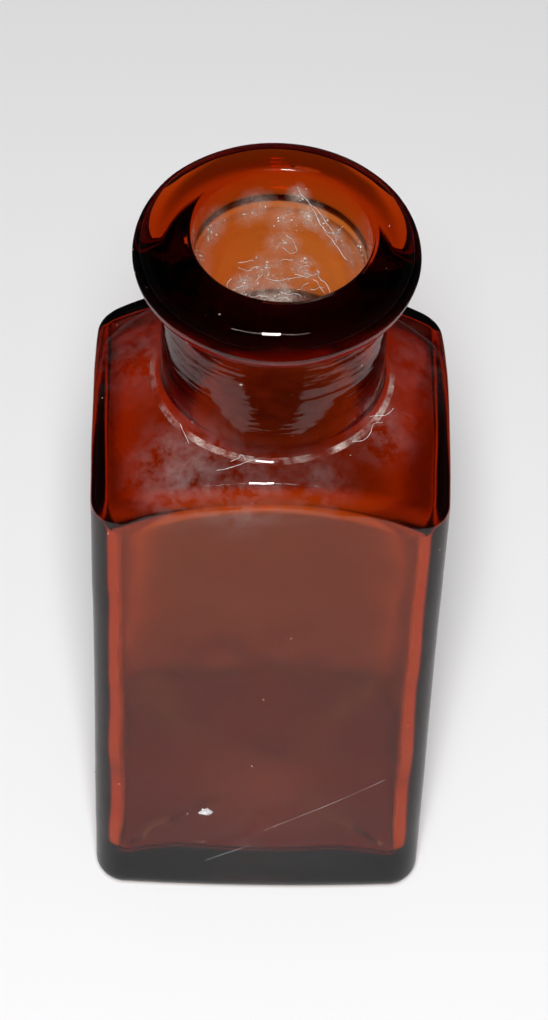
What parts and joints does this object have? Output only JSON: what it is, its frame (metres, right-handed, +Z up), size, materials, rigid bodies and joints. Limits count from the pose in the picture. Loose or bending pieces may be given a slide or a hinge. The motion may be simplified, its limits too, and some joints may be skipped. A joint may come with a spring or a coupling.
{
  "type": "rectangular apothecary bottle",
  "caption": "Small open amber glass apothecary bottle: mould-blown rectangular body with a round neck, and a thick applied ring lip.",
  "frame": {"origin": "centre of the plane that the bottle stands on", "axes": "+Z up along the neck, +X to the right and +Y away from a viewer who faces the broad front"},
  "size_m": [0.0261, 0.0216, 0.0665],
  "materials": {
    "amber_glass": "gloss"
  },
  "bodies": {
    "root": {"glass_body": "amber_glass", "applied_lip": "amber_glass"}
  },
  "joints": []
}
